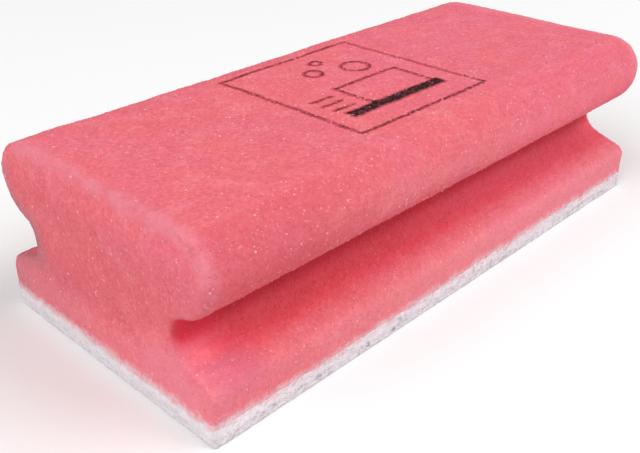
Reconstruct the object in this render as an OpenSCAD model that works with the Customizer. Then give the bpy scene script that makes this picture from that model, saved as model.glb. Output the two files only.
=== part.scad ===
// Cleaning sponge with finger grooves.
// A contour-cut block of soft foam with a groove along each long side, a
// non-woven scouring pad bonded under it, and a small ink print on its flat top.
// Millimetres. X runs along the sponge, Y across it and Z up. The origin is at
// the middle of the pad's underside, on the surface that the sponge lies on.

/* [Foam body] */
// Length of the foam along X
foam_length = 150; // [100:1:200]
// Width of the foot, below the grooves
foot_w = 70; // [62:0.5:90]
// Width of the roll that the hand holds, above the grooves
roll_w = 70; // [62:0.5:90]
// Height of the foam above the scouring pad
foam_h = 38; // [34:0.5:50]
// Width of the waist between the two grooves
waist_w = 46; // [36:0.5:52]
// Height of the grooves' centre line above the scouring pad
groove_z = 14.8; // [12.5:0.1:17]
// Radius of the grooves' floor
groove_r = 5.1; // [4:0.1:6.2]
// Slope of the foot's upper side, in degrees
foot_slope = 18.5; // [13:0.5:24]
// Slope of the roll's underside, in degrees
roll_slope = 18; // [13:0.5:24]
// Radius that rounds the foot's upper edge
foot_edge_r = 2.3; // [1:0.1:4]
// Radius that rounds the roll's lower edge
roll_lower_r = 10; // [6:0.1:12]
// Radius that rounds the roll's upper edge
roll_upper_r = 8; // [5:0.1:9.5]

/* [Scouring pad] */
// Thickness of the scouring pad
pad_t = 4.5; // [3:0.1:10]
// Radius of the pad's four upright corners
pad_corner_r = 1; // [0.5:0.1:4]

/* [Print] */
// Length of the printed frame along X
print_length = 44; // [40:0.5:70]
// Distance of the print's centre from the sponge's middle, along X
print_x = -1.5; // [-20:0.5:20]
// Bare foam between the printed frame and the roll's rounded edge
print_margin = 4; // [1:0.1:6]
// Width of the thin lines
line_w = 0.9; // [0.5:0.1:1.5]
// Thickness of the ink
ink_t = 0.2; // [0.1:0.05:0.5]
// Length of the heavy bar
bar_length = 32; // [20:0.5:36]
// Width of the heavy bar
bar_w = 3.6; // [2:0.1:5]
// Distance of the heavy bar's middle from the front edge of the printed frame
bar_inset = 9; // [5:0.5:11]
// Length of the block outline that stands on the bar
block_length = 22; // [12:0.5:24]
// Height of the block outline
block_h = 13; // [9:0.5:14]
// Distance of the block's middle from the print's centre, along X
block_x = 4; // [0:0.5:6]
// Length of the three short lines beside the block
stroke_length = 7; // [3:0.5:8]
// Distance from one short line to the next
stroke_pitch = 3.4; // [2:0.1:4]
// Gap between the block and the short lines
stroke_gap = 3; // [1:0.5:3.5]
// Outer radius of the largest bubble
bubble_r = 4; // [3:0.1:4.5]
// Gap between the block and the largest bubble
bubble_gap = 3; // [1:0.5:4]

/* [Hidden] */

// Faces on each arc of the foam's outline
foot_steps = 5;
groove_steps = 18;
lower_steps = 12;
upper_steps = 12;
// Faces on each corner of the pad
pad_steps = 5;
// Share of the wall beside it that a rounding may take
wall_share = 0.96;

// Corner of the groove, where the foot's upper side and the roll's underside would meet
groove_half = (foot_slope + roll_slope) / 2;
groove_tilt = (roll_slope - foot_slope) / 2;
groove_deep = groove_r / sin(groove_half);
groove_corner = [
    waist_w / 2 + groove_r - groove_deep * cos(groove_tilt),
    groove_z - groove_deep * sin(groove_tilt)
];
// Sharp corners of the foot and of the roll, before they are rounded
foot_corner = [foot_w / 2, groove_corner[1] - (foot_w / 2 - groove_corner[0]) * tan(foot_slope)];
lower_corner = [roll_w / 2, groove_corner[1] + (roll_w / 2 - groove_corner[0]) * tan(roll_slope)];
upper_corner = [roll_w / 2, foam_h];
foot_base = [foot_w / 2, 0];
roof_middle = [0, foam_h];

// How far each rounding reaches along the walls beside it, and what the walls leave for it
groove_reach = groove_r / tan(groove_half);
foot_reach = min(
    foot_edge_r / tan(45 + foot_slope / 2),
    wall_share * (norm(foot_corner - groove_corner) - groove_reach),
    wall_share * foot_corner[1]
);
lower_reach = min(
    roll_lower_r / tan(45 + roll_slope / 2),
    wall_share * (norm(lower_corner - groove_corner) - groove_reach)
);
upper_reach = min(
    roll_upper_r,
    wall_share * (foam_h - lower_corner[1] - lower_reach)
);

// Place and size of the print on the flat of the roof
print_w = roll_w - 2 * (roll_upper_r + print_margin);
roof_z = pad_t + foam_h;
bar_y = -print_w / 2 + bar_inset;
block_y = bar_y + (bar_w + block_h) / 2 - line_w;
stroke_x = block_x - (block_length + stroke_length) / 2 - stroke_gap;
bubble_y = block_y + block_h / 2 + bubble_gap + bubble_r;
// Each bubble's radius, and its place along X and Y, as shares of the largest one's radius
bubbles = [[1, 1.2, 0], [0.7, -1.6, 0.9], [0.5, -0.1, 2.2]];

function unit(v) = v / norm(v);

// Points of the arc that rounds a corner, starting and ending at reach from it
function rounded(before, corner, after, reach, steps) =
    let (
        back = unit(before - corner),
        ahead = unit(after - corner),
        half = acos(back * ahead) / 2,
        radius = reach * tan(half),
        centre = corner + unit(back + ahead) * radius / sin(half),
        start = corner + back * reach - centre,
        turn = (180 - 2 * half) * sign(back[1] * ahead[0] - back[0] * ahead[1])
    )
    [for (i = [0 : steps])
        let (a = turn * i / steps)
        centre + [start[0] * cos(a) - start[1] * sin(a), start[0] * sin(a) + start[1] * cos(a)]
    ];

// Right half of the foam's section, from the foot's base up to the roof
half_outline = concat(
    [foot_base],
    rounded(foot_base, foot_corner, groove_corner, foot_reach, foot_steps),
    rounded(foot_corner, groove_corner, lower_corner, groove_reach, groove_steps),
    rounded(groove_corner, lower_corner, upper_corner, lower_reach, lower_steps),
    rounded(lower_corner, upper_corner, roof_middle, upper_reach, upper_steps)
);

// The same points on the left, in the opposite order
function mirrored(points) = [for (i = [len(points) - 1 : -1 : 0]) [-points[i][0], points[i][1]]];

// Outline of a rectangle whose corners are rounded, one quarter turn at a time
function rounded_rectangle(length, width, r, steps) = [
    for (quarter = [0 : 3])
        let (
            side_x = quarter == 0 || quarter == 3 ? 1 : -1,
            side_y = quarter < 2 ? 1 : -1
        )
        for (i = [0 : steps])
            let (a = 90 * (quarter + i / steps))
            [side_x * (length / 2 - r) + r * cos(a), side_y * (width / 2 - r) + r * sin(a)]
];

module frame_outline(length, width) {
    difference() {
        square([length, width], center = true);
        square([length - 2 * line_w, width - 2 * line_w], center = true);
    }
}

// A ring of straight strokes
module bubble(r) {
    difference() {
        circle(r = r, $fn = 12);
        circle(r = r - line_w, $fn = 12);
    }
}

module foam_body() {
    color([0.93, 0.47, 0.51])
        translate([-foam_length / 2, 0, pad_t])
            rotate([90, 0, 90])
                linear_extrude(height = foam_length)
                    polygon(concat(half_outline, mirrored(half_outline)));
}

module scouring_pad() {
    color([0.88, 0.86, 0.87])
        linear_extrude(height = pad_t)
            polygon(rounded_rectangle(foam_length, foot_w, pad_corner_r, pad_steps));
}

module top_print() {
    color([0.16, 0.09, 0.1])
        translate([print_x, 0, roof_z])
            linear_extrude(height = ink_t) {
                frame_outline(print_length, print_w);
                translate([0, bar_y])
                    square([bar_length, bar_w], center = true);
                translate([block_x, block_y])
                    frame_outline(block_length, block_h);
                for (row = [-1 : 1])
                    translate([stroke_x, block_y + row * stroke_pitch])
                        square([stroke_length, line_w], center = true);
                for (b = bubbles)
                    translate([block_x + b[1] * bubble_r, bubble_y + b[2] * bubble_r])
                        bubble(b[0] * bubble_r);
            }
}

foam_body();
scouring_pad();
top_print();
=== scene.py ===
"""Looks of a cleaning sponge.

A soft pink foam block with a finger groove along each side, a white scouring pad under it
and a small ink print on its top. Sizes are in millimetres and become metres where a mesh is made.
X runs along the sponge from the near end to the far one, Y across it from front to back, and Z up.
"""
import math

import bpy
import numpy as np
from mathutils import Matrix, Vector, noise
from mathutils.bvhtree import BVHTree
from mathutils.kdtree import KDTree


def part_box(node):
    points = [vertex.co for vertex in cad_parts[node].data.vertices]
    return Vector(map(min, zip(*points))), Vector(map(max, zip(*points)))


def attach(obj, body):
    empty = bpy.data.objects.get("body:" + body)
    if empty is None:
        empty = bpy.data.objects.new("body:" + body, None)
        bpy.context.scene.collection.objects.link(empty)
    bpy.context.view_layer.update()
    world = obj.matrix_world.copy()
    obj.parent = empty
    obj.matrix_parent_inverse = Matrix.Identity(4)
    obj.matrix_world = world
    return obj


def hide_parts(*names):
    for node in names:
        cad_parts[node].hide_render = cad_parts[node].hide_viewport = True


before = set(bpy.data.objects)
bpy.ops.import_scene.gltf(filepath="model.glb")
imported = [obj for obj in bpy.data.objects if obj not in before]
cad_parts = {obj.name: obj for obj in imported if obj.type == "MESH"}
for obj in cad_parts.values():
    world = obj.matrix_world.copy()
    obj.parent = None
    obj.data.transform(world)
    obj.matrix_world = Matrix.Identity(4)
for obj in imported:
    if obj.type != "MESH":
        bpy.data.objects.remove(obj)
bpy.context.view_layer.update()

MM = 0.001
DOWN = Vector((0, 0, -1))

# Start of all that is random; noise_vector would otherwise start from the clock
SEED = 20
noise.seed_set(SEED)

# The CAD pieces that the looks follow
foam_high, pad_high = [np.array(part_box(node)[1]) / MM for node in ("foam_body", "scouring_pad")]
print_low, print_high = [np.array(corner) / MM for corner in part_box("top_print")]
HALF_LENGTH = foam_high[0]
HALF_WIDTH = foam_high[1]
BOND_Z = pad_high[2]
ROOF_Z = foam_high[2]

# Camera, matched to the outline in the photograph
EYE = (-148.7, -132.8, 113.5)
AIM_AZIMUTH = 45.72
AIM_DOWN = 29.04
CAMERA_ROLL = 0.28
LENS = 49.54
SENSOR = 36.0
CLIP_START = 0.01

# Light: two large soft boxes, left and right, and a little from the room; distances and sizes in metres
BOX_AZIMUTHS = {"left_box": -90, "right_box": 45}
BOX_ELEVATION = 45
BOX_DISTANCE = 2.5
BOX_SIZE = 2.0
BOX_LIGHT = 2.43
ROOM_LIGHT = 0.172
FLOOR_SIZE = 6
FLOOR_DROP = 0.02

# Meshes: what counts as the same place, and the slack when a level or an end is looked for
SAME_PLACE = 0.001
NEARLY = 0.01
FLAT_ANGLE = 0.5

# Foam
CUT_EDGE = 0.9
CUT_EDGE_STEPS = 3
FOAM_VOXEL = 0.62
FOAM_SMOOTHINGS = 4
BASE_SPARE = 2.0
FOAM_CREASE = 50

# Scouring pad
PAD_VOXEL = 0.42
PAD_SMOOTHINGS = 1
TOP_SPARE = 1.5
PAD_CREASE = 60
FLUSH_REACH = 1.6

# Unevenness of the surfaces: its name, the size of its lumps, their full depth and their levels of detail
FOAM_RUFFLES = (("foam_waves", 24, 0.5, 2), ("foam_lumps", 4.5, 0.22, 2), ("foam_cells", 1.5, 0.28, 2))
PAD_RUFFLES = (("pad_waves", 9, 0.25, 2), ("pad_tufts", 1.4, 0.22, 2), ("pad_fibres", 0.8, 0.14, 1))

# Cell ends that stand out of the foam; those whose tone is above the glint's shine
CELL_ENDS = 22000
KNOB_WIDTH = (0.24, 0.36)
KNOB_LENGTH = (0.12, 0.18)
KNOB_LEAN = 0.1
KNOB_SUNK = 0.04
GLINT_TONE = 0.8
GLINT_GROWTH = 0.4

# How dull the painted glints on the cell ends are, the patches where bright ones gather, the distance from
# the brightest place over which they grow fewer, and how far the grooves dim them
DULLNESS = 1.9
BRIGHT_PATCH = 8
GATHERED = (-0.2, 0.35)
GATHERED_GAIN = 1.2
BRIGHT_MIDDLE = -8
QUIET = (15, 65)
QUIET_LOSS = 0.9
GROOVE_TINTED = (0.1, 0.45)
GROOVE_DIMMING = 0.55

# Strands of the pad: shares on its sides and its underside, and the fibre's own sizes
STRANDS = 5400
STRAND_SHARES = (0.55, 0.45)
STRAND_LENGTH = (1.2, 4.2)
STRAND_WIDTH = (0.05, 0.085)
STRAND_BEND = 0.9
STRAND_TILT = 0.5
STRAND_LIFT = (0.1, 0.7)
STRAND_HUMP = (-0.08, 0.05, 0.09, 0.05, -0.08)
STRAND_CORNERS = (0.5, 2.594, 4.689)
STRAND_LOW = 0.3
STRAND_TOP = BOND_Z - 0.2
STRAND_INSET = 0.5

# Print: size of its cells, bare margin round it, height above the foam and how far its edges stray
INK_STEP = 0.2
INK_SPARE = 1.0
INK_LIFT = 0.12
INK_STRAY = 0.24
INK_STRAY_SIZE = 0.6
INK_LOAD_REACH = 4
INK_CORE_REACH = 2

# How much of the foam takes ink, how much more or less where the stamp is heavy, and how much that varies
# with the hand's pressure and with small specks, each with the size of its patches
INK_PORE_SIZE = 0.36
INK_COVER = 0.2
INK_LOAD_MIDDLE = 0.45
INK_LOAD_GAIN = 0.3
INK_PRESS_SIZE = 7
INK_PRESS_GAIN = 0.25
INK_SPECK_SIZE = 1.1
INK_SPECK_GAIN = 0.3

# Border of pink and white on the sides: how far it wanders, the size of its ripples, how far its middle
# lies below the bond, how much higher it is at the near end, and where it is all white and all pink
BORDER_WANDER = 4.2
BORDER_RIPPLE = 1.8
BORDER_DROP = 2.45
BORDER_NEAR_RISE = 0.5
BORDER_FADE = (-1.8, 2.2)

# How far the real sponge's cuts depart from the drawing
NEAR_END_OUT = 0.25
FAR_END_OUT = 0.35
NEAR_END_TURN = 0.0064
NEAR_END_LEAN = 0.03
LEAN_LEVEL = 20
BACK_ROLL_IN = 0.55
BACK_GROOVE_OUT = 0.9
BACK_FOOT_OUT = 0.45
BACK_FOOT_UP = 0.7
BACK_EDGE_WORN = 0.6
BACK_DROOP = 0.35
FRONT_GROOVE_IN = 0.7

# Where on the section they do so: middles, and bands from where a change starts to where it is full
BACK_EDGE_AT = (31, 41)
BACK_EDGE_REACH = 6
GROOVE_LEVEL = 19
GROOVE_REACH = 4.5
FOOT_EDGE_LEVEL = 13.5
FOOT_EDGE_REACH = 2.5
BACK_SIDE = (14, 33)
BACK_WAIST = (8, 22)
BACK_SLOPE = (20, 28)
BACK_ROOF = (5, 28)
FRONT_WAIST = (-8, -22)
ROLL_UP = (20, 27)
FOOT_DOWN = (17, 12)
UPPER_ROLL = (30, 40)
FAR_HALF = (0, 70)
DROOP_START = 30

# Regions of the foam, each from where it starts to where it is full: its skin by the distance from the
# outline, the grooves by the distance from the ends, and the rest by their place along the sponge
SKIN = (2.5, 1.0)
OFF_THE_ENDS = (-0.4, 1.8)
NEAR_FACE = (2.5, 0.8)
NEAR_PART = (-25, -52)
NEAR_TIP = (-61, -69)
FAR_PART = (-20, 40)

# Patterns in the materials, by the size of their lumps or patches
CELL_SIZE = 0.8
LUMP_SIZE = 0.95
CLOUD_SIZE = 4.5
HIGHLIGHT_PATCH = 3.5
ORANGE_PATCH = 11
VIOLET_PATCH = 17
GLINT_PATCH = 14
WEB_SIZE = 0.5
TUFT_SIZE = 1.3
CRUMB_SIZE = 1.5
OPEN_PATCH = 12
STRAND_PATCH = 1.2
BLOT_SIZE = 0.9
FLOOR_PATCH = 300

# Depth of each material's bumps
FOAM_BUMP = 0.11
WEB_BUMP = 0.15
INK_BUMP = 0.05


# Colours

def screen(red, green, blue):
    """A colour as seen on the screen, from 0 to 255, as the shader takes it."""
    share = np.array((red, green, blue)) / 255
    linear = np.where(share <= 0.04045, share / 12.92, ((share + 0.055) / 1.055) ** 2.4)
    return (*linear.tolist(), 1)


FOAM_PINK = screen(234, 113, 124)
FOAM_DEEP = screen(214, 84, 98)
FOAM_PORE = screen(196, 86, 97)
FOAM_VIOLET = screen(232, 117, 141)
FOAM_ORANGE = screen(238, 118, 120)
FOAM_PALE = screen(248, 158, 168)
FOAM_LOW = screen(248, 158, 166)
# Colour of the painted glints
FOAM_GLINT = screen(255, 208, 208)
PAD_WHITE = screen(250, 243, 247)
PAD_GREY = screen(206, 195, 205)
PAD_SPECK = screen(140, 124, 140)
PAD_PLAIN = screen(227, 223, 225)
PAD_FLOOR_SHADE = screen(198, 191, 195)
PAD_FRINGE = screen(236, 228, 233)
INK_DARK = screen(44, 27, 29)
INK_LINE = screen(120, 46, 56)
INK_EDGE = screen(200, 90, 100)
FLOOR_TONES = ((0.93, 0.93, 0.93, 1), (0.96, 0.96, 0.96, 1))

# Painted light and shade on parts of the foam, in the order in which they are laid: shade under the roll,
# on its crest, in the grooves and on the near end, light on the slopes and the roll's side, and a
# highlight along the cut edges
PAINTED_LIGHT_TINTS = {
    "under": screen(212, 84, 94),
    "crest": screen(214, 92, 104),
    "groove": screen(246, 62, 82),
    "deep": screen(204, 56, 74),
    "near_foot": screen(204, 108, 134),
    "slope": screen(255, 108, 138),
    "end_shade": screen(178, 122, 130),
    "end_dim": screen(150, 70, 70),
    "pale_side": FOAM_PALE,
    "far_side": screen(255, 120, 138),
    "edge_highlight": screen(234, 134, 148),
}


# Editing helpers

def select_only(piece):
    bpy.ops.object.select_all(action="DESELECT")
    piece.select_set(True)
    bpy.context.view_layer.objects.active = piece


def open_edit(piece, mode="VERT", action="DESELECT"):
    """Open a piece for editing with nothing selected, or with all of it."""
    select_only(piece)
    bpy.ops.object.mode_set(mode="EDIT")
    bpy.ops.mesh.select_mode(type=mode)
    bpy.ops.mesh.select_all(action=action)


def close_edit():
    bpy.ops.object.mode_set(mode="OBJECT")


def open_with(piece, kind, test):
    """Open a piece for editing with the vertices, edges or faces selected that pass a test."""
    parts = {"VERT": piece.data.vertices, "EDGE": piece.data.edges, "FACE": piece.data.polygons}
    open_edit(piece, kind)
    close_edit()
    for part in parts[kind]:
        part.select = test(part)
    bpy.ops.object.mode_set(mode="EDIT")


def apply_modifier(piece, kind, **settings):
    """Add a modifier with these settings and apply it."""
    select_only(piece)
    modifier = piece.modifiers.new(kind.lower(), kind)
    for name, value in settings.items():
        setattr(modifier, name, value)
    bpy.ops.object.modifier_apply(modifier=modifier.name)


def places_of(piece):
    """The vertices' places, in millimetres, one row each."""
    flat = np.empty(len(piece.data.vertices) * 3)
    piece.data.vertices.foreach_get("co", flat)
    return flat.reshape(-1, 3) / MM


def put_places(piece, places):
    piece.data.vertices.foreach_set("co", (places * MM).reshape(-1))
    piece.data.update()


def store_values(piece, name, values):
    """Keep one number for each vertex, for the piece's material to read."""
    layer = piece.data.attributes.new(name, "FLOAT", "POINT")
    layer.data.foreach_set("value", values.astype(np.float32))


def merged_copy(node, name):
    """A copy of a CAD node with its loose triangles merged into clean faces."""
    piece = bpy.data.objects.new(name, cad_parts[node].data.copy())
    bpy.context.collection.objects.link(piece)
    piece.data.materials.clear()
    open_edit(piece, action="SELECT")
    bpy.ops.mesh.remove_doubles(threshold=SAME_PLACE * MM)
    bpy.ops.mesh.dissolve_limited(angle_limit=math.radians(FLAT_ANGLE))
    close_edit()
    bpy.ops.mesh.customdata_custom_splitnormals_clear()
    return piece


def new_piece(name, places, faces):
    """A piece whose mesh has these vertices, in millimetres, and these faces."""
    mesh = bpy.data.meshes.new(name)
    mesh.from_pydata((places * MM).tolist(), [], faces)
    piece = bpy.data.objects.new(name, mesh)
    bpy.context.collection.objects.link(piece)
    return piece


def stretch_level(piece, level, shift):
    """Move what lies at a level up or down by a shift."""
    open_with(piece, "VERT", lambda vertex: abs(vertex.co.z / MM - level) < NEARLY)
    bpy.ops.transform.translate(value=(0, 0, shift * MM))
    close_edit()


def ruffle(piece, name, size, depth, levels):
    """Push the surface in and out by a cloud pattern of this grain size and full depth."""
    texture = bpy.data.textures.new(name, "CLOUDS")
    texture.noise_scale = size * MM
    texture.noise_depth = levels
    apply_modifier(piece, "DISPLACE", texture=texture, texture_coords="LOCAL", strength=depth * MM,
                   mid_level=0.5)


def trim_flat(piece, height, keep_above):
    """Cut a piece off level at a height and close the cut with one face."""
    open_edit(piece, action="SELECT")
    bpy.ops.mesh.bisect(plane_co=(0, 0, height * MM), plane_no=(0, 0, 1), use_fill=True,
                        clear_inner=keep_above, clear_outer=not keep_above)
    close_edit()


def smooth_to(piece, crease):
    """Shade a piece smooth where its faces meet at less than this angle, in degrees."""
    select_only(piece)
    bpy.ops.object.shade_smooth_by_angle(angle=math.radians(crease))


def surface_of(piece):
    """A piece's surface, for finding the nearest place on it or where a ray meets it."""
    return BVHTree.FromPolygons([v.co for v in piece.data.vertices],
                                [p.vertices for p in piece.data.polygons])


# Measures over many places at once

def rise(low, high, value):
    """A soft step from 0 at low to 1 at high."""
    t = np.clip((value - low) / (high - low), 0, 1)
    return t * t * (3 - 2 * t)


def bell(value, middle, reach):
    """1 at the middle, falling off smoothly over this reach."""
    return np.exp(-((value - middle) / reach) ** 2)


def noise_at(places, size, lift=0):
    """Smooth noise at these places, with lumps of this size."""
    return np.array([noise.noise(Vector(place) / size + Vector((0, 0, lift))) for place in places])


def of_length_one(rows):
    return rows / np.linalg.norm(rows, axis=1)[:, None]


# How the real sponge departs from its drawing

def end_skew(places):
    """Both ends are a little long, and the near one is cut out of square."""
    near = NEAR_END_TURN * places[:, 1] + NEAR_END_LEAN * (places[:, 2] - LEAN_LEVEL) - NEAR_END_OUT
    along = (places[:, 0] + HALF_LENGTH) / (2 * HALF_LENGTH)
    places[:, 0] += near * (1 - along) + FAR_END_OUT * along


def cut_wander(places):
    """The contour cut strays: the back roll lies further in, its edge is worn and the grooves differ."""
    along, across, height = places.T.copy()
    edge_across, edge_level = BACK_EDGE_AT
    edge = bell(across, edge_across, BACK_EDGE_REACH) * bell(height, edge_level, BACK_EDGE_REACH)
    edge *= BACK_EDGE_WORN
    back = rise(*BACK_SIDE, across)
    groove = bell(height, GROOVE_LEVEL, GROOVE_REACH)
    foot_edge = bell(height, FOOT_EDGE_LEVEL, FOOT_EDGE_REACH)
    droop = BACK_DROOP * np.clip((DROOP_START - along) / (DROOP_START + HALF_LENGTH), 0, 1)
    places[:, 1] -= BACK_ROLL_IN * back * rise(*ROLL_UP, height) + edge
    places[:, 1] += BACK_GROOVE_OUT * rise(*BACK_WAIST, across) * groove
    places[:, 1] += BACK_FOOT_OUT * back * rise(*FOOT_DOWN, height)
    places[:, 1] += FRONT_GROOVE_IN * rise(*FRONT_WAIST, across) * groove * rise(*FAR_HALF, along)
    places[:, 2] += BACK_FOOT_UP * rise(*BACK_SLOPE, across) * foot_edge
    places[:, 2] -= droop * rise(*BACK_ROOF, across) * rise(*UPPER_ROLL, height) + edge


# Foam

def make_foam():
    """The foam: its CAD section with rounded cuts, a lumpy skin and the real one's stray cuts."""
    foam = merged_copy("foam_body", "foam")
    stretch_level(foam, BOND_Z, -BASE_SPARE)
    base = BOND_Z - BASE_SPARE

    def round_cut(edge):
        ends = np.array([foam.data.vertices[i].co for i in edge.vertices]) / MM
        at_one_end = abs(ends[0, 0] - ends[1, 0]) < NEARLY and abs(abs(ends[0, 0]) - HALF_LENGTH) < NEARLY
        return bool(at_one_end and ends[:, 2].max() > base + NEARLY)

    open_with(foam, "EDGE", round_cut)
    bpy.ops.mesh.bevel(offset=CUT_EDGE * MM, segments=CUT_EDGE_STEPS)
    close_edit()
    apply_modifier(foam, "REMESH", mode="VOXEL", voxel_size=FOAM_VOXEL * MM)
    apply_modifier(foam, "SMOOTH", factor=0.5, iterations=FOAM_SMOOTHINGS)
    for name, size, depth, levels in FOAM_RUFFLES:
        ruffle(foam, name, size, depth, levels)
    trim_flat(foam, BOND_Z, keep_above=True)
    places = places_of(foam)
    cut_wander(places)
    end_skew(places)
    put_places(foam, places)
    # Painted light and shade on the foam, kept on its vertices for the material
    for tint, share in painted_light_shares(places).items():
        store_values(foam, tint, share)
    smooth_to(foam, FOAM_CREASE)
    foam.data.materials.append(foam_material())
    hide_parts("foam_body")
    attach(foam, "root")
    return foam


def foam_outline():
    """The foam's section as y and z, in order round it, read from the end face of its CAD solid."""
    solid = merged_copy("foam_body", "foam_section")
    end_face = max(solid.data.polygons, key=lambda face: face.area * face.normal.x)
    outline = np.array([solid.data.vertices[i].co[1:] for i in end_face.vertices]) / MM
    bpy.data.objects.remove(solid)
    return outline


def outline_gap(places):
    """How far each place lies inside the foam's section outline."""
    outline = foam_outline()
    nearest = np.full(len(places), np.inf)
    for start, end in zip(outline, np.roll(outline, -1, axis=0)):
        along = end - start
        share = np.clip((places[:, 1:] - start) @ along / (along @ along), 0, 1)
        gap = np.linalg.norm(places[:, 1:] - start - share[:, None] * along, axis=1)
        nearest = np.minimum(nearest, gap)
    return nearest


class FoamSpots:
    """Where places lie on the foam, and how much each of them belongs to its main regions."""

    def __init__(self, places):
        self.along, self.across, self.height = places.T
        self.side = np.abs(self.across)
        self.inward = HALF_WIDTH - self.side
        self.from_near_end = self.along + HALF_LENGTH
        self.from_end = HALF_LENGTH - np.abs(self.along)
        self.from_outline = outline_gap(places)
        self.wall = rise(*SKIN, self.from_outline)
        self.groove_wall = self.wall * rise(*OFF_THE_ENDS, self.from_end)
        self.near_face = rise(*NEAR_FACE, self.from_near_end)
        self.near = rise(*NEAR_PART, self.along)
        self.near_tip = rise(*NEAR_TIP, self.along)
        self.far = rise(*FAR_PART, self.along)


def roll_tints(at):
    """Painted light and shade on the roll: painted shade on its underside and its upper edge, and two
    painted lighter bands along its side.
    """
    lower = rise(20, 25, at.height) * rise(26, 33, at.side)
    lowest = (0.1 + 0.35 * rise(15, -15, at.along)) * rise(31.5, 28.5, at.height)
    under = lower * np.maximum(0.65 * at.near * rise(39.5, 29.5, at.height), lowest)
    crest_start = 37.5 - 3.5 * at.near
    crest = (0.25 + 0.3 * at.near) * rise(crest_start, 39.8, at.height) * rise(28.5, 30.5, at.side)
    pale = 0.13 * bell(at.height, 34, 3) * rise(-40, -20, at.along) * rise(30, 34, at.side)
    far = 0.4 * rise(0, 30, at.along) * bell(at.height, 32, 4) * rise(29, 33, at.side)
    return {"under": under * at.wall, "crest": crest * at.wall, "pale_side": pale * at.wall,
            "far_side": far * at.wall}


def groove_tints(at):
    """Painted shade in the grooves, a deeper red for the light that bounces inside them: their walls,
    which show less at the near end, and their deepest part, in the roll's shadow.
    """
    roll_ends = rise(31, 27, at.height)
    walls = (0.46 - 0.1 * at.far) * rise(2.5, 7, at.inward) * rise(9, 12.5, at.height)
    walls = walls * rise(30, 25, at.height)
    mouth = rise(16.8, 15.2, at.height) * rise(12, 2, at.from_near_end)
    back = 0.4 * at.near_tip * rise(15.5, 17, at.height) * roll_ends
    groove = walls * (1 - mouth) + back * rise(3.5, 8, at.inward)
    deep = (0.9 - 0.15 * at.far) * rise(3.5, 8, at.inward) * rise(15.6, 18.8, at.height) * roll_ends
    return {"groove": groove * at.groove_wall, "deep": deep * (1 - 0.5 * at.near_tip) * at.groove_wall}


def foot_tints(at):
    """On the foot: painted shade on the near part of its edge, and painted light on its slope under the
    grooves.
    """
    edge = rise(9, 12, at.height) * rise(14.4, 13.4, at.height) * rise(24, 29, at.side)
    edge = edge * rise(-58, -67, at.along)
    slope = rise(13.6, 14.8, at.height) * rise(18, 16, at.height) * rise(5, 8, at.inward)
    slope = slope * np.maximum(0.4 * at.near_tip, 0.3 * rise(-15, 15, at.along))
    return {"near_foot": 0.55 * edge * at.wall * rise(0, 3, at.from_end), "slope": slope * at.groove_wall}


def end_tints(at):
    """On the near end face: the shade at its back, and its dimmer middle."""
    back_roll = 0.7 * rise(6.5, 0.3, at.from_outline) * rise(5, 20, at.across) * rise(41, 34, at.height)
    back_foot = 0.2 * rise(-6, 18, at.across) + 0.2 * rise(22, 34, at.across)
    shade = back_roll * rise(11, 19, at.height) + back_foot * rise(19, 14, at.height)
    front_foot = rise(-8, -16, at.across) * rise(22, 16, at.height)
    dim = 0.15 * rise(38, 31, at.height) * rise(12, 17, at.height) * (1 - front_foot)
    return {"end_shade": shade * at.near_face, "end_dim": dim * at.near_face}


def edge_highlight_tint(at):
    """Painted highlight where the cut edges catch the light: the roll's rim at its ends, and the foot's
    front corner.
    """
    reach = 3.9 + 1.3 * rise(0, 25, at.across)
    roll = rise(reach, 0.4, np.maximum(at.from_outline, at.from_end)) * rise(22, 34, at.height)
    foot = 0.7 * rise(-11, -20, at.across) * rise(20, 14, at.height) * at.near_face
    rim = 0.5 * rise(6, 0.5, at.from_near_end) * rise(-20, -24, at.across) * rise(18, 15, at.height)
    return {"edge_highlight": np.maximum(np.maximum(roll, foot), rim)}


def painted_light_shares(places):
    """How strongly each tint of painted light and shade lies on the foam at these places, from 0 to 1."""
    at = FoamSpots(places)
    shares = {}
    for tints in (roll_tints, groove_tints, foot_tints, end_tints, edge_highlight_tint):
        shares.update(tints(at))
    return {tint: shares[tint] for tint in PAINTED_LIGHT_TINTS}


# Cell ends

def model_knob():
    """One cell end, a low four-sided knob: its places, for a size of one, and its faces."""
    bpy.ops.mesh.primitive_cone_add(vertices=4, radius1=1, radius2=0, depth=2, end_fill_type="TRIFAN")
    knob = bpy.context.object
    shape = places_of(knob) * MM
    faces = [tuple(face.vertices) for face in knob.data.polygons]
    bpy.data.objects.remove(knob)
    at_ring = np.linalg.norm(shape[:, :2], axis=1) > 0.5
    shape[at_ring, 2] = 0
    return shape, faces


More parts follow.
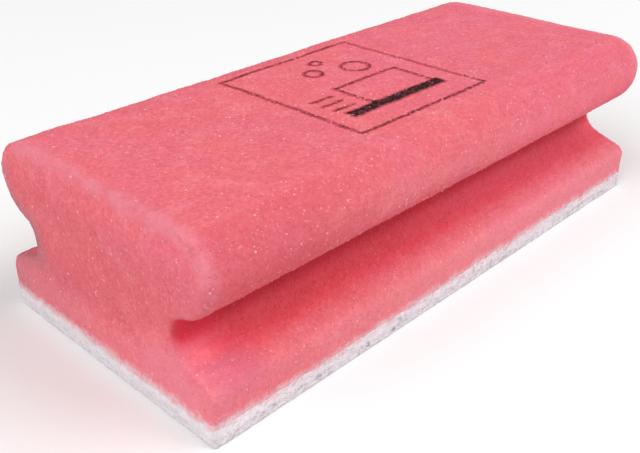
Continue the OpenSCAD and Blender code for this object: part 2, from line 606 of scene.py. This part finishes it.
def make_cell_ends(foam):
    """Cell ends that stand out of the cut foam: one low knob, copied all over."""
    dice = np.random.default_rng(SEED)
    shape, faces = model_knob()
    skin = [face for face in foam.data.polygons if len(face.vertices) == 4]
    picked = dice.choice(len(skin), CELL_ENDS, replace=False)
    roots = np.array([skin[i].center for i in picked]) / MM
    normals = np.array([skin[i].normal for i in picked])
    lean = of_length_one(normals + dice.normal(0, KNOB_LEAN, (CELL_ENDS, 3)))
    side = of_length_one(np.cross(lean, dice.normal(0, 1, (CELL_ENDS, 3))))
    other = np.cross(lean, side)
    # The tone paints glints on the knobs: pale at middle tones, the glint colour at the top, dimmed where
    # the grooves' painted shade lies
    gathered = GATHERED_GAIN * rise(*GATHERED, noise_at(roots, BRIGHT_PATCH))
    quiet = QUIET_LOSS * rise(*QUIET, np.abs(roots[:, 0] - BRIGHT_MIDDLE))
    tone = dice.uniform(0, 1, CELL_ENDS) ** (DULLNESS - gathered + quiet)
    shares = painted_light_shares(roots)
    tone *= 1 - GROOVE_DIMMING * rise(*GROOVE_TINTED, shares["groove"] + shares["deep"])
    grown = 1 + GLINT_GROWTH * rise(GLINT_TONE, 1.0, tone)
    width = dice.uniform(*KNOB_WIDTH, CELL_ENDS) * grown
    length = dice.uniform(*KNOB_LENGTH, CELL_ENDS) * grown
    middles = roots - lean * KNOB_SUNK
    places = middles[:, None] + (
        side[:, None] * (shape[None, :, 0] * width[:, None])[..., None]
        + other[:, None] * (shape[None, :, 1] * width[:, None])[..., None]
        + lean[:, None] * (shape[None, :, 2] * length[:, None])[..., None]
    )
    count = len(shape)
    all_faces = [tuple(corner + k * count for corner in face) for k in range(CELL_ENDS) for face in faces]
    ends = new_piece("foam_cell_ends", places.reshape(-1, 3), all_faces)
    store_values(ends, "tone", (tone[:, None] * rise(-1, 0.4, shape[:, 2])).reshape(-1))
    # The foam's painted light and shade, kept on each knob too
    for tint, share in shares.items():
        store_values(ends, tint, np.repeat(share, count))
    select_only(ends)
    bpy.ops.object.shade_smooth()
    ends.data.materials.append(cell_end_material())
    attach(ends, "root")
    return ends


# Scouring pad

def meet_foam(places, foam):
    """Bring the pad's sides flush with the foam's where the two are bonded."""
    above = places_of(foam)
    rim = above[above[:, 2] < BOND_Z + NEARLY]
    tree = KDTree(len(rim))
    for index, spot in enumerate(rim):
        tree.insert((spot[0], spot[1], 0), index)
    tree.balance()
    for place in places:
        share = rise(BOND_Z - FLUSH_REACH, BOND_Z, place[2])
        if share > 0:
            index = tree.find((place[0], place[1], 0))[1]
            axis = int(HALF_WIDTH - abs(place[1]) < HALF_LENGTH - abs(place[0]))
            place[axis] += (rim[index][axis] - place[axis]) * share


def make_pad(foam):
    """The scouring pad: its CAD slab with a tufted skin, flush with the foam above it."""
    pad = merged_copy("scouring_pad", "pad")
    stretch_level(pad, BOND_Z, TOP_SPARE)
    apply_modifier(pad, "REMESH", mode="VOXEL", voxel_size=PAD_VOXEL * MM)
    apply_modifier(pad, "SMOOTH", factor=0.5, iterations=PAD_SMOOTHINGS)
    for name, size, depth, levels in PAD_RUFFLES:
        ruffle(pad, name, size, depth, levels)
    trim_flat(pad, BOND_Z, keep_above=False)
    places = places_of(pad)
    end_skew(places)
    meet_foam(places, foam)
    places[:, 2] = np.maximum(places[:, 2], 0)
    put_places(pad, places)
    smooth_to(pad, PAD_CREASE)
    pad.data.materials.append(pad_material())
    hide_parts("scouring_pad")
    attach(pad, "root")
    return pad


# Strands

def strand_start(kind, dice):
    """A place on the pad for a fibre, its direction and the way out: 0 a side, 1 the underside."""
    half = np.array([HALF_LENGTH, HALF_WIDTH])
    if kind == 1:
        spot = np.array([*(dice.uniform(-1, 1, 2) * (half - STRAND_INSET)), 0.1])
        turn = dice.uniform(0, 2 * math.pi)
        return spot, np.array([math.cos(turn), math.sin(turn), 0]), np.array([0, 0, -1.0])
    travel = dice.uniform(0, 2 * (HALF_LENGTH + HALF_WIDTH))
    side = 1 if dice.uniform() < 0.5 else -1
    if travel < 2 * HALF_LENGTH:
        spot = np.array([travel - HALF_LENGTH, side * HALF_WIDTH, 0])
        along = np.array([1.0, 0, 0])
        normal = np.array([0, side, 0.0])
    else:
        spot = np.array([side * HALF_LENGTH, travel - 2 * HALF_LENGTH - HALF_WIDTH, 0])
        along = np.array([0, 1.0, 0])
        normal = np.array([side, 0, 0.0])
    spot[2] = dice.uniform(STRAND_LOW, BOND_Z)
    turn = dice.normal(0, STRAND_TILT)
    along = along * math.cos(turn) + np.array([0, 0, 1.0]) * math.sin(turn)
    return spot, along, normal


def lay_strand(kind, dice, wall):
    """One fibre that lies along the pad's surface, as the corners of its rings."""
    start, along, normal = strand_start(kind, dice)
    length = dice.uniform(*STRAND_LENGTH)
    bend = np.cross(along, normal) * dice.uniform(-STRAND_BEND, STRAND_BEND)
    height = dice.uniform(*STRAND_LIFT)
    width = dice.uniform(*STRAND_WIDTH)
    last = len(STRAND_HUMP) - 1
    centres = []
    outs = []
    for step, lift in zip(np.linspace(-0.5, 0.5, last + 1), STRAND_HUMP):
        spot = start + along * step * length + bend * (0.25 - step * step) * length * 0.5
        spot[2] = min(spot[2], STRAND_TOP)
        near, out = [np.array(found) for found in wall.find_nearest(Vector(spot * MM))[:2]]
        centres.append(near / MM + out * lift * height)
        outs.append(out)
    corners = []
    for k in range(last + 1):
        ahead = centres[min(k + 1, last)] - centres[max(k - 1, 0)]
        ahead /= np.linalg.norm(ahead) + 1e-9
        side = np.cross(ahead, outs[k])
        side /= np.linalg.norm(side) + 1e-9
        up = np.cross(side, ahead)
        corners += [centres[k] + (side * math.cos(turn) + up * math.sin(turn)) * width
                    for turn in STRAND_CORNERS]
    return corners


def strand_faces(first, rings, corners):
    """The faces of one fibre whose rings of corners start at this vertex, with both its ends closed."""
    faces = [tuple(range(first + corners - 1, first - 1, -1))]
    for base in range(first, first + (rings - 1) * corners, corners):
        for corner in range(corners):
            following = (corner + 1) % corners
            faces.append((base + corner, base + following,
                          base + corners + following, base + corners + corner))
    last = first + (rings - 1) * corners
    faces.append(tuple(range(last, last + corners)))
    return faces


def make_strands(pad):
    """Felted fibres that lie along the pad's sides and underside."""
    dice = np.random.default_rng(SEED + 1)
    wall = surface_of(pad)
    rings, corners = len(STRAND_HUMP), len(STRAND_CORNERS)
    kinds = dice.choice(2, STRANDS, p=STRAND_SHARES)
    places = np.array([corner for kind in kinds for corner in lay_strand(kind, dice, wall)])
    places[:, 2] = np.maximum(places[:, 2], 0)
    firsts = range(0, len(places), rings * corners)
    faces = [face for first in firsts for face in strand_faces(first, rings, corners)]
    strands = new_piece("pad_strands", places, faces)
    store_values(strands, "tone", np.repeat(dice.uniform(0, 1, STRANDS), rings * corners))
    open_edit(strands, action="SELECT")
    bpy.ops.mesh.normals_make_consistent(inside=False)
    close_edit()
    strands.data.materials.append(strand_material())
    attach(strands, "root")
    return strands


# Print

def in_stamp(stamp, spot):
    """Whether the CAD print lies under a spot, with the edge a little ragged."""
    wander = noise.noise_vector(Vector(spot) / INK_STRAY_SIZE) * INK_STRAY
    above = (Vector(spot) + wander) * MM
    above.z = (print_high[2] + 1) * MM
    return stamp.ray_cast(above, DOWN)[0] is not None


def blurred(field, reach):
    """A grid averaged over a square that reaches this many cells each way."""
    for axis in (0, 1):
        field = sum(np.roll(field, shift, axis) for shift in range(-reach, reach + 1)) / (2 * reach + 1)
    return field


def took_ink(centres, load, wetted):
    """Which cells took ink: pores stay bare, fewer of them where the stamp is heavy or pressed hard."""
    press = INK_PRESS_GAIN * noise_at(centres, INK_PRESS_SIZE, lift=9)
    specks = INK_SPECK_GAIN * noise_at(centres, INK_SPECK_SIZE)
    limit = INK_COVER + INK_LOAD_GAIN * (load - INK_LOAD_MIDDLE) + press + specks
    return wetted & (noise_at(centres, INK_PORE_SIZE) < limit)


def make_print(foam):
    """Ink stamped on the foam: a thin skin in the CAD print's shapes, broken where the cells are open."""
    stamp = surface_of(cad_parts["top_print"])
    roof = surface_of(foam)
    low = print_low[:2] - INK_SPARE
    span = print_high[:2] - print_low[:2] + 2 * INK_SPARE
    cells = np.ceil(span / INK_STEP).astype(int)
    bpy.ops.mesh.primitive_grid_add(x_subdivisions=int(cells[0]), y_subdivisions=int(cells[1]), size=1)
    ink = bpy.context.object
    ink.name = "ink_print"
    places = places_of(ink) * MM
    places[:, :2] = low + (places[:, :2] + 0.5) * span
    places[:, 2] = print_low[2]
    put_places(ink, places)
    centres = np.array([face.center for face in ink.data.polygons]) / MM
    column, row = np.round((centres[:, :2] - low) / span * cells - 0.5).astype(int).T
    stamped = np.zeros(cells)
    stamped[column, row] = [in_stamp(stamp, centre) for centre in centres]
    load = blurred(stamped, INK_LOAD_REACH)
    core = blurred(stamped, INK_CORE_REACH)
    wetted = blurred(stamped, 1)[column, row] > 0
    inked = took_ink(centres, load[column, row], wetted)
    skin = np.zeros(cells)
    skin[column, row] = inked
    beside = sum(np.roll(skin, shift, axis) for shift in (-1, 1) for axis in (0, 1))
    keep = inked & (beside[column, row] >= 2)
    open_with(ink, "FACE", lambda face: not keep[face.index])
    bpy.ops.mesh.delete(type="FACE")
    close_edit()
    open_edit(ink, action="SELECT")
    bpy.ops.mesh.vertices_smooth(factor=0.5, repeat=1)
    close_edit()
    places = places_of(ink)
    for place in places:
        above = Vector((place[0], place[1], ROOF_Z + 5)) * MM
        place[2] = roof.ray_cast(above, DOWN)[0].z / MM + INK_LIFT
    put_places(ink, places)
    column, row = np.clip(((places[:, :2] - low) / span * cells).astype(int), 0, cells - 1).T
    store_values(ink, "load", load[column, row])
    store_values(ink, "core", core[column, row])
    apply_modifier(ink, "SOLIDIFY", thickness=1.5 * INK_LIFT * MM, offset=-1)
    ink.data.materials.append(ink_material())
    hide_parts("top_print")
    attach(ink, "root")
    return ink


# Shading

class Shading:
    """Adds nodes to a node tree and wires them; an input is another node's output or a plain value."""

    def __init__(self, tree):
        self.tree = tree

    def add(self, kind, inputs=None, **settings):
        node = self.tree.nodes.new("ShaderNode" + kind)
        for name, value in settings.items():
            setattr(node, name, value)
        self.fill(node, inputs or {})
        return node

    def fill(self, node, inputs):
        for name, value in inputs.items():
            self.feed(node.inputs[name], value)

    def feed(self, target, value):
        if isinstance(value, bpy.types.NodeSocket):
            self.tree.links.new(value, target)
        else:
            target.default_value = value

    def maths(self, operation, first, second=0.0, third=0.0, clamp=False):
        inputs = {0: first, 1: second, 2: third}
        return self.add("Math", inputs, operation=operation, use_clamp=clamp).outputs[0]

    def times(self, first, second):
        return self.maths("MULTIPLY", first, second)

    def step(self, value, low, high, out_low=0.0, out_high=1.0):
        """A soft step between two results as a value goes from low to high."""
        inputs = {"Value": value, "From Min": low, "From Max": high, "To Min": out_low, "To Max": out_high}
        return self.add("MapRange", inputs, interpolation_type="SMOOTHSTEP").outputs["Result"]

    def fade(self, value, start, full, strength=1.0):
        """Nothing where a value is at the start, and this strength where it is at the full end."""
        return self.step(value, start, full, 0.0, strength)

    def mix(self, share, first, second):
        return self.add("Mix", {0: share, 6: first, 7: second}, data_type="RGBA").outputs[2]

    def grain(self, vector, size, detail=2.0, roughness=0.5):
        """Noise with lumps of this size in millimetres."""
        inputs = {"Vector": vector, "Scale": 1 / (size * MM), "Detail": detail, "Roughness": roughness}
        return self.add("TexNoise", inputs).outputs[0]

    def axes(self, place):
        """A place's X, Y and Z."""
        return self.add("SeparateXYZ", {0: place}).outputs

    def stored(self, name):
        """A number that the piece's mesh keeps at each vertex."""
        return self.add("Attribute", attribute_name=name).outputs["Fac"]


def new_group(name, inputs, outputs):
    """A node group with these inputs, each a kind and a value, and these outputs, each a kind."""
    tree = bpy.data.node_groups.new(name, "ShaderNodeTree")
    for label, (kind, value) in inputs.items():
        socket = tree.interface.new_socket(label, in_out="INPUT", socket_type="NodeSocket" + kind)
        if value is not None:
            socket.default_value = value
    for label, kind in outputs.items():
        tree.interface.new_socket(label, in_out="OUTPUT", socket_type="NodeSocket" + kind)
    way_in = tree.nodes.new("NodeGroupInput")
    way_out = tree.nodes.new("NodeGroupOutput")
    return tree, Shading(tree), way_in.outputs, way_out


def cell_group():
    """Open foam cells: a dark pore inside each, and a height for the bump."""
    tree, draw, given, result = new_group(
        "foam cells",
        {"Vector": ("Vector", None), "Cell size": ("Float", 0.5)},
        {"Pore": "Float", "Height": "Float"},
    )
    cells = {"Vector": given["Vector"], "Scale": draw.maths("DIVIDE", 1 / MM, given["Cell size"])}
    walls = draw.add("TexVoronoi", cells, feature="DISTANCE_TO_EDGE")
    middles = draw.add("TexVoronoi", cells, feature="F1")
    shade = draw.add("SeparateColor", {"Color": middles.outputs["Color"]}).outputs["Red"]
    deep = draw.maths("MULTIPLY_ADD", shade, 0.7, 0.3)
    pore = draw.times(draw.fade(walls.outputs["Distance"], 0.04, 0.32), deep)
    draw.fill(result, {"Pore": pore, "Height": draw.maths("SUBTRACT", 1.0, pore)})
    return tree


def glint_group():
    """Painted glints: scattered bright points of uneven size, gathered in loose patches."""
    tree, draw, given, result = new_group(
        "bright points",
        {"Vector": ("Vector", None), "Spacing": ("Float", 2.4), "Share": ("Float", 0.5),
         "Radius": ("Float", 0.12)},
        {"Mask": "Float"},
    )
    scale = draw.maths("DIVIDE", 1 / MM, given["Spacing"])
    points = draw.add("TexVoronoi", {"Vector": given["Vector"], "Scale": scale}, feature="F1")
    chance = draw.add("SeparateColor", {"Color": points.outputs["Color"]})
    patch = draw.grain(given["Vector"], GLINT_PATCH)
    limit = draw.times(given["Share"], draw.step(patch, 0.35, 0.65, 0.4, 1.6))
    present = draw.maths("LESS_THAN", chance.outputs["Red"], limit)
    size = draw.times(given["Radius"], draw.step(chance.outputs["Green"], 0.0, 1.0, 0.45, 1.0))
    spot = draw.fade(draw.maths("DIVIDE", points.outputs["Distance"], size), 1.0, 0.2)
    draw.fill(result, {"Mask": draw.times(spot, present)})
    return tree


def web_group():
    """Crossing fibres of a felted web, light on dark, with gaps between the tufts."""
    tree, draw, given, result = new_group(
        "fibre web",
        {"Vector": ("Vector", None), "Fibre size": ("Float", 0.35)},
        {"Fibre": "Float", "Tuft": "Float", "Height": "Float"},
    )
    scale = draw.maths("DIVIDE", 1 / MM, given["Fibre size"])
    web = None
    for turn in ((0.3, 0.5, 0.2), (1.2, -0.4, 1.5), (-0.7, 0.9, 2.6)):
        placed = draw.add("Mapping", {"Vector": given["Vector"], "Rotation": turn, "Scale": (0.3, 1, 1)})
        strands = draw.add("TexNoise", {"Vector": placed.outputs[0], "Scale": scale, "Detail": 1.0})
        middle = draw.maths("ABSOLUTE", draw.maths("SUBTRACT", strands.outputs[0], 0.5))
        ridge = draw.fade(middle, 0.09, 0.0)
        web = ridge if web is None else draw.maths("MAXIMUM", web, ridge)
    tuft = draw.fade(draw.grain(given["Vector"], TUFT_SIZE, detail=3.0), 0.35, 0.65)
    height = draw.maths("MULTIPLY_ADD", web, 0.5, draw.times(tuft, 0.5))
    draw.fill(result, {"Fibre": web, "Tuft": tuft, "Height": height})
    return tree


CELLS = cell_group()
GLINTS = glint_group()
WEB = web_group()


def new_material(name):
    material = bpy.data.materials.new(name)
    material.use_nodes = True
    draw = Shading(material.node_tree)
    place = draw.add("TexCoord").outputs["Object"]
    return material, draw, material.node_tree.nodes["Principled BSDF"], place


def above_border(draw, place):
    """Height above the border of pink and white, which wanders a little along the sponge."""
    spot = draw.axes(place)
    ripple = draw.grain(place, BORDER_RIPPLE, detail=3.0, roughness=0.65)
    middle = draw.maths("MULTIPLY_ADD", ripple, BORDER_WANDER * MM, (BOND_Z - BORDER_DROP) * MM)
    near = draw.fade(spot["X"], -58 * MM, -HALF_LENGTH * MM, BORDER_NEAR_RISE * MM)
    return draw.maths("SUBTRACT", draw.maths("SUBTRACT", spot["Z"], middle), near)


def pinkness(draw, above):
    """How pink the sponge is at this height above the border: 0 on the white pad, 1 on the foam."""
    return draw.fade(above, *[level * MM for level in BORDER_FADE])


def plain_pad(draw, place):
    """How plain and neutral the pad is on the near end face."""
    return draw.fade(draw.axes(place)["X"], -73.6 * MM, -74.6 * MM, 0.45)


def foam_colour(draw, place, tone=None):
    """The foam's colour and its bump height; the cell ends also pass their own tone."""
    cells = draw.add("Group", {"Vector": place, "Cell size": CELL_SIZE}, node_tree=CELLS)
    lumps = draw.grain(place, LUMP_SIZE, detail=1.0)
    clouds = draw.grain(place, CLOUD_SIZE)
    spot = draw.axes(place)
    far = draw.fade(spot["X"], -20 * MM, 45 * MM, 0.36)
    violet = draw.fade(draw.grain(place, VIOLET_PATCH), 0.42, 0.66, 0.3)
    orange = draw.fade(draw.grain(place, ORANGE_PATCH, detail=1.0), 0.45, 0.7, 0.4)
    colour = draw.mix(draw.maths("ADD", violet, far), FOAM_PINK, FOAM_VIOLET)
    colour = draw.mix(orange, colour, FOAM_ORANGE)
    colour = draw.mix(draw.fade(clouds, 0.5, 0.75, 0.22), colour, FOAM_PALE)
    colour = draw.mix(draw.fade(clouds, 0.5, 0.25, 0.18), colour, FOAM_DEEP)
    colour = draw.mix(draw.times(cells.outputs["Pore"], 0.15), colour, FOAM_DEEP)
    colour = draw.mix(draw.fade(lumps, 0.5, 0.78, 0.2), colour, FOAM_PALE)
    colour = draw.mix(draw.fade(lumps, 0.54, 0.25, 0.27), colour, FOAM_PORE)
    low = draw.step(spot["X"], -70 * MM, 10 * MM, 0.2, 0.4)
    low = draw.times(draw.fade(spot["Z"], 14 * MM, 10 * MM), low)
    colour = draw.mix(low, colour, FOAM_LOW)
    # The painted edge highlight comes in patches
    patchy = draw.step(draw.grain(place, HIGHLIGHT_PATCH, detail=3.0), 0.3, 0.65, 0.35, 1.0)
    # Painted light and shade, from the shares kept on the vertices
    for tint, tint_colour in PAINTED_LIGHT_TINTS.items():
        share = draw.stored(tint)
        if tint == "edge_highlight":
            share = draw.times(share, patchy)
        colour = draw.mix(share, colour, tint_colour)
    # Painted glints on the cell ends, by their tone
    if tone is not None:
        colour = draw.mix(draw.fade(tone, 0.0, GLINT_TONE, 0.6), colour, FOAM_PALE)
        colour = draw.mix(draw.fade(tone, GLINT_TONE, 1.0, 0.65), colour, FOAM_GLINT)
    fringe = draw.mix(plain_pad(draw, place), PAD_FRINGE, PAD_PLAIN)
    colour = draw.mix(pinkness(draw, above_border(draw, place)), fringe, colour)
    height = draw.maths("MULTIPLY_ADD", lumps, 1.5, cells.outputs["Height"])
    return colour, height


def foam_material():
    material, draw, shader, place = new_material("pink_foam")
    colour, height = foam_colour(draw, place)
    # Painted glints scattered on the foam's skin
    sizes = {"Vector": place, "Spacing": 1.6, "Share": 0.6, "Radius": 0.3}
    glints = draw.add("Group", sizes, node_tree=GLINTS).outputs["Mask"]
    colour = draw.mix(draw.times(glints, 0.16), colour, FOAM_GLINT)
    bump = draw.add("Bump", {"Height": height, "Distance": FOAM_BUMP * MM, "Strength": 1.0})
    draw.fill(shader, {"Base Color": colour, "Roughness": 0.85, "Specular IOR Level": 0.1,
                       "Normal": bump.outputs[0]})
    return material


def cell_end_material():
    material, draw, shader, place = new_material("pink_cell_ends")
    colour = foam_colour(draw, place, draw.stored("tone"))[0]
    draw.fill(shader, {"Base Color": colour, "Roughness": 0.8, "Specular IOR Level": 0.1})
    return material


def pad_material():
    material, draw, shader, place = new_material("scouring_web")
    spot = draw.axes(place)
    web = draw.add("Group", {"Vector": place, "Fibre size": WEB_SIZE}, node_tree=WEB).outputs
    colour = draw.mix(web["Tuft"], PAD_GREY, PAD_WHITE)
    colour = draw.mix(draw.times(web["Fibre"], 0.4), colour, PAD_WHITE)
    middle = draw.fade(spot["Z"], 0.7 * MM, 1.4 * MM, 0.4)
    middle = draw.times(draw.fade(spot["Z"], 2.6 * MM, 1.9 * MM), middle)
    colour = draw.mix(middle, colour, PAD_GREY)
    crumbs = draw.grain(place, CRUMB_SIZE, roughness=0.6)
    open_patch = draw.step(draw.grain(place, OPEN_PATCH), 0.35, 0.6, 0.25, 1.0)
    open_patch = draw.times(open_patch, draw.step(spot["X"], -74 * MM, -58 * MM, 0.5, 1.0))
    colour = draw.mix(draw.times(draw.fade(crumbs, 0.5, 0.3, 0.75), open_patch), colour, PAD_SPECK)
    colour = draw.mix(plain_pad(draw, place), colour, PAD_PLAIN)
    # Painted contact shade: darker along the pad's bottom where it meets the floor, with a ragged edge
    ragged = draw.maths("MULTIPLY_ADD", crumbs, 1.6 * MM, spot["Z"])
    colour = draw.mix(draw.fade(ragged, 1.7 * MM, 0.9 * MM, 0.7), colour, PAD_FLOOR_SHADE)
    above = above_border(draw, place)
    colour = draw.mix(draw.fade(above, -2.6 * MM, -1.2 * MM, 0.45), colour, PAD_WHITE)
    colour = draw.mix(pinkness(draw, above), colour, FOAM_PINK)
    bump = draw.add("Bump", {"Height": web["Height"], "Distance": WEB_BUMP * MM, "Strength": 0.7})
    draw.fill(shader, {"Base Color": colour, "Roughness": 0.8, "Specular IOR Level": 0.2,
                       "Normal": bump.outputs[0]})
    return material


def strand_material():
    material, draw, shader, place = new_material("web_strands")
    colour = draw.mix(draw.fade(draw.stored("tone"), 0.75, 1.0), PAD_WHITE, PAD_GREY)
    colour = draw.mix(draw.fade(draw.grain(place, STRAND_PATCH), 0.5, 0.8, 0.4), colour, PAD_GREY)
    colour = draw.mix(plain_pad(draw, place), colour, PAD_PLAIN)
    draw.fill(shader, {"Base Color": colour, "Roughness": 0.6})
    return material


def ink_material():
    """Ink that is dark in the heavy shapes, brown in the lines and pink where the stamp left little."""
    material, draw, shader, place = new_material("stamped_ink")
    load = draw.stored("load")
    core = draw.stored("core")
    spot = draw.axes(place)
    blot = draw.grain(place, BLOT_SIZE)
    colour = draw.mix(draw.fade(blot, 0.5, 0.36, 0.45), INK_LINE, INK_DARK)
    far = draw.times(draw.fade(spot["X"], 13 * MM, 19 * MM, 0.6), draw.fade(spot["Y"], -22 * MM, -12 * MM))
    faint = draw.maths("ADD", draw.fade(core, 0.95, 0.35), far)
    faint = draw.maths("ADD", faint, draw.fade(blot, 0.5, 0.66, 0.5), clamp=True)
    colour = draw.mix(faint, colour, INK_EDGE)
    heavy = draw.times(draw.fade(load, 0.6, 0.85), draw.fade(core, 0.5, 1.0))
    heavy = draw.times(heavy, draw.step(blot, 0.64, 0.5, 0.6, 1.0))
    colour = draw.mix(heavy, colour, INK_DARK)
    bump = draw.add("Bump", {"Height": blot, "Distance": INK_BUMP * MM})
    draw.fill(shader, {"Base Color": colour, "Roughness": draw.step(blot, 0.3, 0.7, 0.75, 0.95),
                       "Specular IOR Level": 0.15, "Normal": bump.outputs[0]})
    return material


def floor_material():
    material, draw, shader, place = new_material("studio_floor")
    colour = draw.mix(draw.grain(place, FLOOR_PATCH), *FLOOR_TONES)
    draw.fill(shader, {"Base Color": colour, "Roughness": 0.9})
    return material


# Camera, floor and light

def make_camera():
    """The camera that took the photograph: its place, its aim and its lens."""
    azimuth = math.radians(AIM_AZIMUTH)
    down = math.radians(AIM_DOWN)
    level = math.cos(down)
    ahead = Vector((math.sin(azimuth) * level, math.cos(azimuth) * level, -math.sin(down)))
    data = bpy.data.cameras.new("camera")
    data.lens = LENS
    data.sensor_width = SENSOR
    data.clip_start = CLIP_START
    camera = bpy.data.objects.new("camera", data)
    bpy.context.collection.objects.link(camera)
    turn = ahead.to_track_quat("-Z", "Y").to_matrix().to_4x4()
    roll = Matrix.Rotation(math.radians(-CAMERA_ROLL), 4, "Z")
    camera.matrix_world = Matrix.Translation(Vector(EYE) * MM) @ turn @ roll
    bpy.context.scene.camera = camera


def make_floor():
    bpy.ops.mesh.primitive_plane_add(size=FLOOR_SIZE, location=(0, 0, -FLOOR_DROP * MM))
    floor = bpy.context.object
    floor.name = "floor"
    floor.data.materials.append(floor_material())


def soft_box(name, azimuth):
    """A large square light that looks at the sponge from this azimuth."""
    lamp = bpy.data.lights.new(name, "AREA")
    lamp.size = BOX_SIZE
    lamp.energy = BOX_LIGHT * math.pi * BOX_DISTANCE ** 2
    box = bpy.data.objects.new(name, lamp)
    bpy.context.collection.objects.link(box)
    around = math.radians(azimuth)
    up = math.radians(BOX_ELEVATION)
    level = math.cos(up)
    toward = Vector((math.sin(around) * level, -math.cos(around) * level, math.sin(up)))
    box.location = toward * BOX_DISTANCE
    box.rotation_euler = (-toward).to_track_quat("-Z", "Y").to_euler()


def make_light():
    """The room's even light and the soft boxes."""
    world = bpy.data.worlds.new("studio")
    world.use_nodes = True
    room = world.node_tree.nodes["Background"]
    room.inputs["Color"].default_value = (1, 1, 1, 1)
    room.inputs["Strength"].default_value = ROOM_LIGHT
    bpy.context.scene.world = world
    for name, azimuth in BOX_AZIMUTHS.items():
        soft_box(name, azimuth)
    bpy.context.scene.view_settings.view_transform = "Standard"


bpy.ops.object.select_all(action="DESELECT")
make_camera()
make_floor()
make_light()
foam = make_foam()
pad = make_pad(foam)
make_cell_ends(foam)
make_strands(pad)
make_print(foam)
